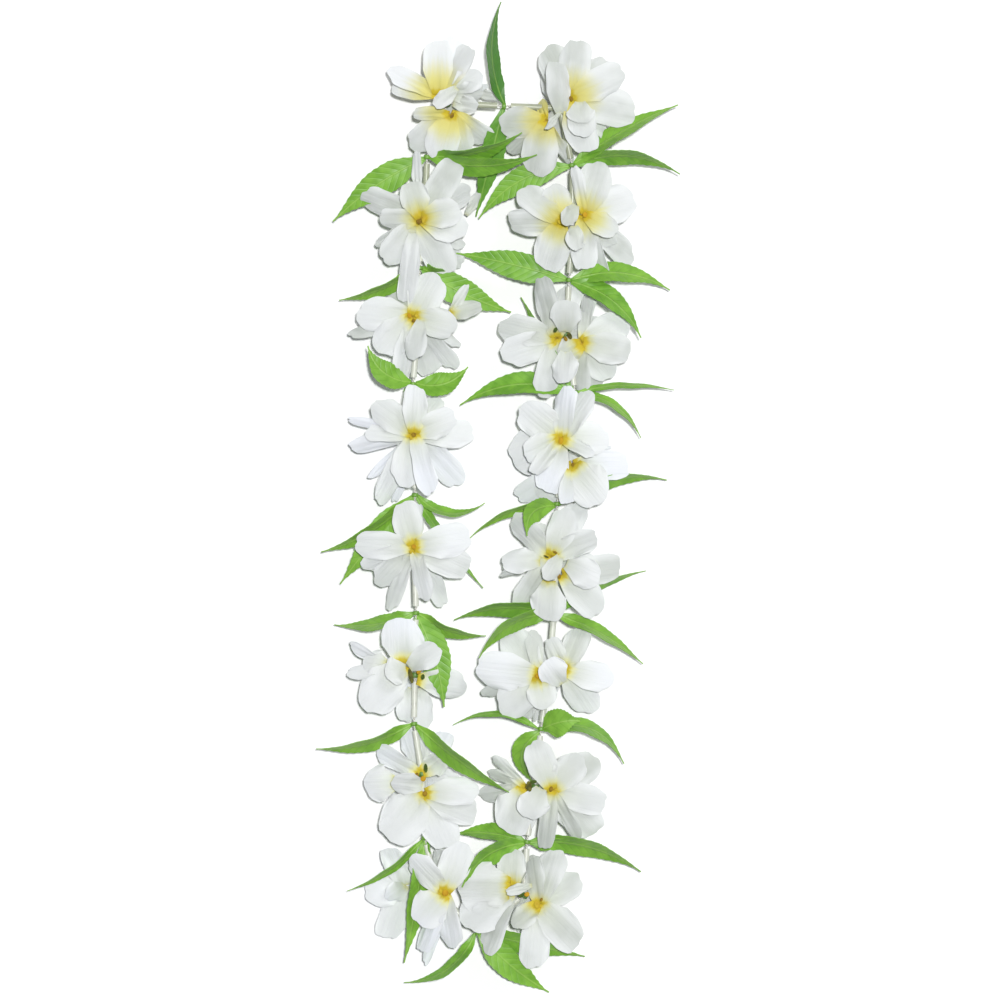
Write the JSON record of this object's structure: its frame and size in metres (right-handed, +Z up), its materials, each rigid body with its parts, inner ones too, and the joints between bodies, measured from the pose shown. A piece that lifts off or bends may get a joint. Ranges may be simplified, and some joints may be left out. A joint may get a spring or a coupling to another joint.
{
  "type": "artificial flower lei",
  "caption": "Artificial lei laid as a long narrow loop: fabric flower clusters and leaf whorls alternate on a thread, with translucent spacer straws between.",
  "frame": {"origin": "on the surface the lei lies on, under the middle of its outline", "axes": "+Z up from the surface, +Y along the long narrow loop towards its top end, +X to the right in the picture"},
  "size_m": [0.2006, 0.5461, 0.0364],
  "materials": {
    "petal_fabric": "white heat-moulded fabric, yellow to orange at the throat",
    "leaf_fabric": "green coated fabric with embossed veins, slight gloss",
    "straw_plastic": "translucent milky white",
    "thread": "white twisted thread"
  },
  "bodies": {
    "root": {"flower_left_1": "petal_fabric", "flower_left_2": "petal_fabric", "flower_left_3": "petal_fabric", "flower_left_4": "petal_fabric", "flower_left_5": "petal_fabric", "flower_left_6": "petal_fabric", "flower_left_7": "petal_fabric", "flower_left_8": "petal_fabric", "flower_right_1": "petal_fabric", "flower_right_2": "petal_fabric", "flower_right_3": "petal_fabric", "flower_right_4": "petal_fabric", "flower_right_5": "petal_fabric", "flower_right_6": "petal_fabric", "flower_right_7": "petal_fabric", "flower_right_8": "petal_fabric", "leaves_bottom": "leaf_fabric", "leaves_left_1": "leaf_fabric", "leaves_left_2": "leaf_fabric", "leaves_left_3": "leaf_fabric", "leaves_left_4": "leaf_fabric", "leaves_left_5": "leaf_fabric", "leaves_left_6": "leaf_fabric", "leaves_left_7": "leaf_fabric", "leaves_right_1": "leaf_fabric", "leaves_right_2": "leaf_fabric", "leaves_right_3": "leaf_fabric", "leaves_right_4": "leaf_fabric", "leaves_right_5": "leaf_fabric", "leaves_right_6": "leaf_fabric", "leaves_right_7": "leaf_fabric", "leaves_top": "leaf_fabric", "straw_01": "straw_plastic", "straw_02": "straw_plastic", "straw_03": "straw_plastic", "straw_04": "straw_plastic", "straw_05": "straw_plastic", "straw_06": "straw_plastic", "straw_07": "straw_plastic", "straw_08": "straw_plastic", "straw_09": "straw_plastic", "straw_10": "straw_plastic", "straw_11": "straw_plastic", "straw_12": "straw_plastic", "straw_13": "straw_plastic", "straw_14": "straw_plastic", "straw_15": "straw_plastic", "straw_16": "straw_plastic", "straw_17": "straw_plastic", "straw_18": "straw_plastic", "straw_19": "straw_plastic", "straw_20": "straw_plastic", "straw_21": "straw_plastic", "straw_22": "straw_plastic", "straw_23": "straw_plastic", "straw_24": "straw_plastic", "straw_25": "straw_plastic", "straw_26": "straw_plastic", "straw_27": "straw_plastic", "string": "thread"}
  },
  "joints": []
}
